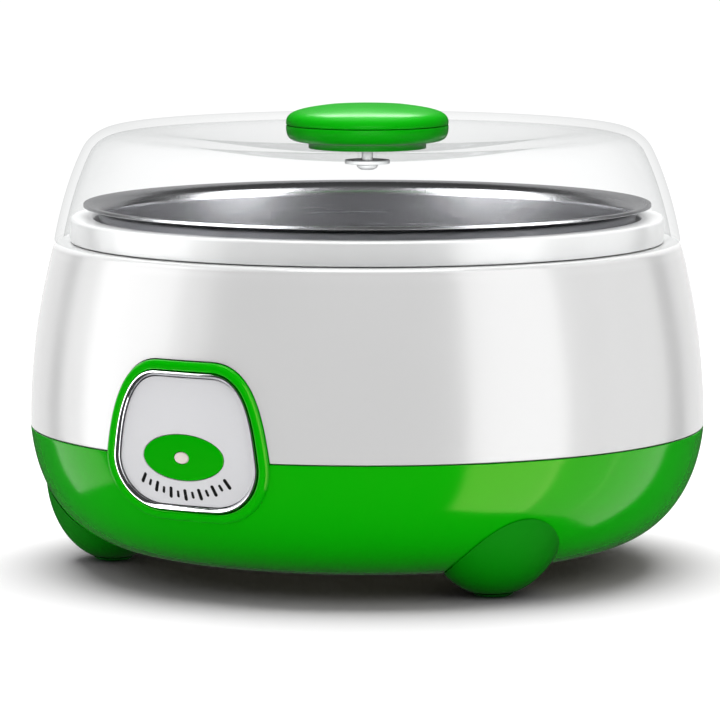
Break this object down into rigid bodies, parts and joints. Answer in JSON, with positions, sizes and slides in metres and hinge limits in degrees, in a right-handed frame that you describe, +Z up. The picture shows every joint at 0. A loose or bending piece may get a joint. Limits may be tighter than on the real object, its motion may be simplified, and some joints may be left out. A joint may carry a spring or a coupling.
{
  "type": "yogurt maker",
  "caption": "Round countertop yogurt maker: steel pot in a heated white and green housing on lobed feet, with a front panel and a clear domed lid with a knob.",
  "frame": {"origin": "centre of the footprint, on the surface that the feet stand on", "axes": "+Z up along the pot's axis, -Y towards the control panel, +X to the right seen from the panel side"},
  "size_m": [0.1802, 0.1807, 0.123],
  "materials": {
    "green_plastic": "smooth high-gloss moulded green",
    "foot_plastic": "smooth gloss, a darker green than the bowl",
    "foot_rubber": "matt green rubber",
    "white_plastic": "smooth high-gloss moulded white",
    "clear_plastic": "clear polished plastic",
    "pot_steel": "fine circumferential brushing, polished lip",
    "bright_metal": "mirror bright",
    "silver_face": "satin silver-white",
    "lens_plastic": "translucent warm white",
    "board_laminate": "green circuit laminate",
    "black_plastic": "satin black",
    "heater_aluminium": "plain rolled sheet",
    "heater_mica": "pressed mica, dry surface",
    "fuse_sleeve": "woven glass sleeve",
    "terminal_plastic": "satin white nylon",
    "screw_steel": "plated steel",
    "lead_insulation": "smooth white silicone"
  },
  "bodies": {
    "base": {"base_tray": "green_plastic", "foot_left": "foot_plastic", "foot_right": "foot_plastic", "foot_rear": "foot_plastic", "foot_pad_left": "foot_rubber", "foot_pad_right": "foot_rubber", "foot_pad_rear": "foot_rubber", "outer_shell": "white_plastic", "inner_well": "white_plastic", "panel_bezel": "bright_metal", "panel_face": "silver_face", "indicator_led": "lens_plastic", "control_board": "board_laminate", "push_switch": "black_plastic", "thermostat": "black_plastic", "cord_gland": "black_plastic", "heater_plate": "heater_aluminium", "heater_element": "heater_mica", "thermal_fuse": "fuse_sleeve", "terminal_block": "terminal_plastic", "thermostat_strap": "screw_steel", "strap_screw_left": "screw_steel", "strap_screw_right": "screw_steel", "terminal_screw": "screw_steel", "base_screw_left": "screw_steel", "base_screw_right": "screw_steel", "base_screw_rear": "screw_steel", "board_screw_left": "screw_steel", "board_screw_right": "screw_steel", "lead_block_to_fuse": "lead_insulation", "lead_fuse_to_thermostat": "lead_insulation", "lead_thermostat_to_heater": "lead_insulation", "lead_heater_to_block": "lead_insulation", "lead_block_to_board": "lead_insulation"},
    "pot": {"steel_pot": "pot_steel"},
    "lid": {"lid_dome": "clear_plastic", "knob_base": "green_plastic", "knob_cap": "green_plastic", "knob_washer": "clear_plastic", "knob_screw": "clear_plastic"},
    "button": {"power_button": "green_plastic", "indicator_lens": "lens_plastic", "switch_plunger": "black_plastic"}
  },
  "joints": [
    {"name": "pot_lift", "type": "slide", "parent": "base", "child": "pot", "axis": [0, 0, 1], "range_m": [0, 0.1]},
    {"name": "lid_lift", "type": "slide", "parent": "pot", "child": "lid", "axis": [0, 0, 1], "range_m": [0, 0.08]},
    {"name": "button_press", "type": "slide", "parent": "base", "child": "button", "axis": [0, 1, 0], "range_m": [0, 0.0015], "stiffness_N_per_m": 400, "springref_m": -0.001}
  ]
}
